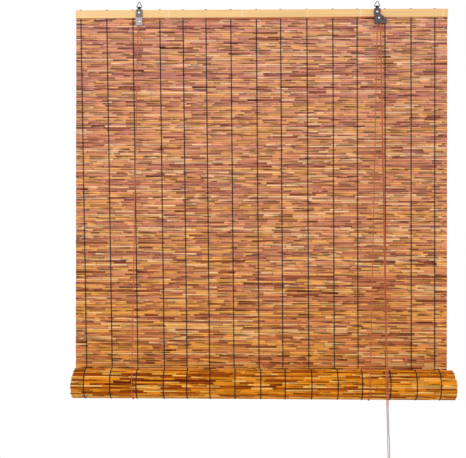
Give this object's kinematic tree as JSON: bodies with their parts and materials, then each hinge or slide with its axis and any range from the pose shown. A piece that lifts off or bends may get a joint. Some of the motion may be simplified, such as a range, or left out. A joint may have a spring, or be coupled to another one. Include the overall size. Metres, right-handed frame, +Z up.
{
  "type": "reed roll up blind",
  "caption": "Roll-up reed blind hung from two triangle rings; two lift cords raise the rolled lower end over a pulley and through a cord lock.",
  "frame": {"origin": "middle of the mat's width, on the line where two hooks bear in the hanging rings", "axes": "+X to the right seen from the room, +Y from the room towards the window, +Z up"},
  "size_m": [1.217, 0.125, 1.5384],
  "materials": {
    "reed": "satin",
    "rolled_reed": "satin",
    "bamboo": "satin",
    "thread": "matte",
    "dark_metal": "satin",
    "pale_metal": "satin",
    "strap": "matte",
    "wheel": "matte",
    "cord": "matte"
  },
  "bodies": {
    "headrail": {"front_batten": "bamboo", "back_batten": "bamboo", "reed_mat": "reed", "warp_thread_01": "thread", "warp_thread_02": "thread", "warp_thread_03": "thread", "warp_thread_04": "thread", "warp_thread_05": "thread", "warp_thread_06": "thread", "warp_thread_07": "thread", "warp_thread_08": "thread", "warp_thread_09": "thread", "warp_thread_10": "thread", "warp_thread_11": "thread", "warp_thread_12": "thread", "warp_thread_13": "thread", "warp_thread_14": "thread", "warp_thread_15": "thread", "left_hanger_plate": "dark_metal", "right_hanger_plate": "dark_metal", "left_hanger_strap": "strap", "right_hanger_strap": "strap", "hanger_rivets": "pale_metal", "left_pulley_housing": "pale_metal", "lock_housing": "dark_metal", "axle_rivets": "pale_metal", "head_cords": "cord", "left_lift_cord_front": "cord", "right_lift_cord_front": "cord", "left_lift_cord_back": "cord", "right_lift_cord_back": "cord", "pull_cord_upper_1": "cord", "pull_cord_upper_2": "cord", "pull_cord_lower_1": "cord", "pull_cord_lower_2": "cord", "pull_cord_hank": "cord", "hank_tie": "cord"},
    "rolled_mat": {"reed_roll": "rolled_reed", "bottom_bar": "bamboo", "roll_threads": "thread", "lift_cord_slings": "cord"},
    "left_ring": {"left_hanger_ring": "pale_metal"},
    "right_ring": {"right_hanger_ring": "pale_metal"},
    "left_wheel": {"left_pulley_wheel": "wheel"},
    "lock_wheel_pair": {"lock_wheels": "wheel"},
    "pinch_roller": {"lock_roller": "pale_metal"}
  },
  "joints": [
    {"name": "roll_lift", "type": "slide", "parent": "headrail", "child": "rolled_mat", "axis": [0, 0, 1], "range_m": [0, 1], "deforming": ["reed_mat", "warp_thread_01", "warp_thread_02", "warp_thread_03", "warp_thread_04", "warp_thread_05", "warp_thread_06", "warp_thread_07", "warp_thread_08", "warp_thread_09", "warp_thread_10", "warp_thread_11", "warp_thread_12", "warp_thread_13", "warp_thread_14", "warp_thread_15", "left_lift_cord_front", "right_lift_cord_front", "left_lift_cord_back", "right_lift_cord_back", "pull_cord_upper_1", "pull_cord_upper_2", "pull_cord_lower_1", "pull_cord_lower_2"]},
    {"name": "left_ring_swing", "type": "hinge", "parent": "headrail", "child": "left_ring", "pos_m": [-0.39324, 0, -0.0157], "axis": [1, 0, 0], "range_deg": [-100, 100]},
    {"name": "right_ring_swing", "type": "hinge", "parent": "headrail", "child": "right_ring", "pos_m": [0.37365, 0, -0.0157], "axis": [1, 0, 0], "range_deg": [-100, 100]},
    {"name": "left_wheel_turn", "type": "hinge", "parent": "headrail", "child": "left_wheel", "pos_m": [-0.39174, -0.0042, -0.063], "axis": [0, 1, 0], "continuous": true},
    {"name": "lock_wheels_turn", "type": "hinge", "parent": "headrail", "child": "lock_wheel_pair", "pos_m": [0.37825, -0.0069, -0.0551], "axis": [0, 1, 0], "continuous": true},
    {"name": "lock_release", "type": "slide", "parent": "headrail", "child": "pinch_roller", "axis": [0.6428, 0, -0.766], "range_m": [0, 0.005]}
  ],
  "couplings": [
    {"joint": "left_wheel_turn", "follows": "roll_lift", "rad_per_m": 400},
    {"joint": "lock_wheels_turn", "follows": "roll_lift", "rad_per_m": 400}
  ]
}
